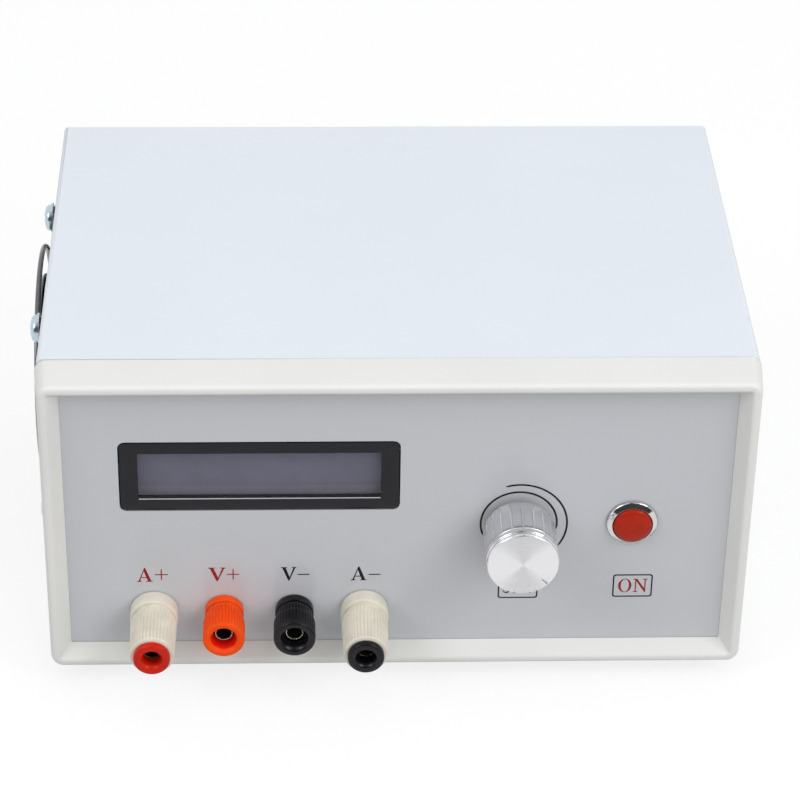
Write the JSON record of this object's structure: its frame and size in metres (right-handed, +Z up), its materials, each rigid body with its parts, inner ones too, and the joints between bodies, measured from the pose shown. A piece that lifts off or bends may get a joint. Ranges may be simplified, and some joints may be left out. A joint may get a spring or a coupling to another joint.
{
  "type": "battery capacity tester",
  "caption": "Bench battery capacity tester: low metal case with cream bezel, text display, turning knob, push button, binding posts and a guarded side fan.",
  "frame": {"origin": "middle of the bounding box at the level the feet stand on", "axes": "+X to the right as seen from the front, +Y to the rear, +Z up; the controls face -Y"},
  "size_m": [0.1962, 0.1598, 0.096],
  "materials": {
    "cream_plastic": "satin",
    "post_cream_plastic": "satin",
    "red_plastic": "gloss",
    "orange_plastic": "gloss",
    "black_plastic": "satin",
    "grey_panel": "gloss",
    "white_paint": "satin",
    "chrome": "polished",
    "blue_zinc": "bright zinc",
    "nickelled_brass": "bright plated",
    "spun_aluminium": "spun",
    "plain_aluminium": "plain",
    "rubber": "matt",
    "clear_plastic": "clear",
    "display_glass": "polished",
    "circuit_board": "satin"
  },
  "bodies": {
    "case": {"front_bezel": "cream_plastic", "front_panel": "grey_panel", "top_cover": "white_paint", "base_tray": "white_paint", "display_lens": "clear_plastic", "display_frame": "black_plastic", "display_glass": "display_glass", "display_board": "circuit_board", "encoder_body": "plain_aluminium", "encoder_nut": "chrome", "button_housing": "chrome", "button_nut": "chrome", "fan_frame": "black_plastic", "fan_guard": "chrome", "fan_screw_1": "blue_zinc", "fan_screw_2": "blue_zinc", "fan_screw_3": "blue_zinc", "fan_screw_4": "blue_zinc", "cover_screw_1": "blue_zinc", "cover_screw_2": "blue_zinc", "cover_screw_3": "blue_zinc", "cover_screw_4": "blue_zinc", "foot_1": "rubber", "foot_2": "rubber", "foot_3": "rubber", "foot_4": "rubber", "power_jack": "black_plastic", "main_board": "circuit_board", "heatsink": "plain_aluminium", "power_transistor_1": "black_plastic", "power_transistor_2": "black_plastic", "lead_positive": "red_plastic", "lead_negative": "black_plastic", "post_base_a_plus": "post_cream_plastic", "post_stud_a_plus": "nickelled_brass", "post_nut_a_plus": "nickelled_brass", "post_base_v_plus": "orange_plastic", "post_stud_v_plus": "nickelled_brass", "post_nut_v_plus": "nickelled_brass", "post_base_v_minus": "black_plastic", "post_stud_v_minus": "nickelled_brass", "post_nut_v_minus": "nickelled_brass", "post_base_a_minus": "post_cream_plastic", "post_stud_a_minus": "nickelled_brass", "post_nut_a_minus": "nickelled_brass"},
    "encoder_plunger": {"encoder_plunger": "plain_aluminium"},
    "knob": {"knob": "spun_aluminium", "encoder_shaft": "plain_aluminium"},
    "button": {"button_cap": "red_plastic"},
    "fan_rotor": {"fan_rotor": "black_plastic"},
    "bush_a_plus": {"post_bush_a_plus": "nickelled_brass"},
    "cap_a_plus": {"post_cap_a_plus": "post_cream_plastic", "post_ring_a_plus": "red_plastic"},
    "bush_v_plus": {"post_bush_v_plus": "nickelled_brass"},
    "cap_v_plus": {"post_cap_v_plus": "orange_plastic"},
    "bush_v_minus": {"post_bush_v_minus": "nickelled_brass"},
    "cap_v_minus": {"post_cap_v_minus": "black_plastic"},
    "bush_a_minus": {"post_bush_a_minus": "nickelled_brass"},
    "cap_a_minus": {"post_cap_a_minus": "post_cream_plastic", "post_ring_a_minus": "black_plastic"}
  },
  "joints": [
    {"name": "knob_push", "type": "slide", "parent": "case", "child": "encoder_plunger", "axis": [0, 1, 0], "range_m": [0, 0.0005], "stiffness_N_per_m": 3000, "springref_m": -0.0003},
    {"name": "knob_turn", "type": "hinge", "parent": "encoder_plunger", "child": "knob", "pos_m": [0.03363, -0.05783, 0.0492], "axis": [0, -1, 0], "continuous": true},
    {"name": "button_press", "type": "slide", "parent": "case", "child": "button", "axis": [0, 1, 0], "range_m": [0, 0.0012], "stiffness_N_per_m": 800, "springref_m": -0.0004},
    {"name": "fan_spin", "type": "hinge", "parent": "case", "child": "fan_rotor", "pos_m": [-0.09348, 0.01862, 0.0522], "axis": [-1, 0, 0], "continuous": true},
    {"name": "post_travel_a_plus", "type": "slide", "parent": "case", "child": "bush_a_plus", "axis": [0, -1, 0], "range_m": [0, 0.0032]},
    {"name": "post_turn_a_plus", "type": "hinge", "parent": "bush_a_plus", "child": "cap_a_plus", "pos_m": [-0.06448, -0.05783, 0.0209], "axis": [0, -1, 0], "range_deg": [0, 1460]},
    {"name": "post_travel_v_plus", "type": "slide", "parent": "case", "child": "bush_v_plus", "axis": [0, -1, 0], "range_m": [0, 0.0032]},
    {"name": "post_turn_v_plus", "type": "hinge", "parent": "bush_v_plus", "child": "cap_v_plus", "pos_m": [-0.04548, -0.05783, 0.0209], "axis": [0, -1, 0], "range_deg": [0, 1460]},
    {"name": "post_travel_v_minus", "type": "slide", "parent": "case", "child": "bush_v_minus", "axis": [0, -1, 0], "range_m": [0, 0.0032]},
    {"name": "post_turn_v_minus", "type": "hinge", "parent": "bush_v_minus", "child": "cap_v_minus", "pos_m": [-0.02647, -0.05783, 0.0209], "axis": [0, -1, 0], "range_deg": [0, 1460]},
    {"name": "post_travel_a_minus", "type": "slide", "parent": "case", "child": "bush_a_minus", "axis": [0, -1, 0], "range_m": [0, 0.0032]},
    {"name": "post_turn_a_minus", "type": "hinge", "parent": "bush_a_minus", "child": "cap_a_minus", "pos_m": [-0.00747, -0.05783, 0.0209], "axis": [0, -1, 0], "range_deg": [0, 1460]}
  ],
  "couplings": [
    {"joint": "post_turn_a_plus", "follows": "post_travel_a_plus", "rad_per_m": 7854},
    {"joint": "post_turn_v_plus", "follows": "post_travel_v_plus", "rad_per_m": 7854},
    {"joint": "post_turn_v_minus", "follows": "post_travel_v_minus", "rad_per_m": 7854},
    {"joint": "post_turn_a_minus", "follows": "post_travel_a_minus", "rad_per_m": 7854}
  ]
}
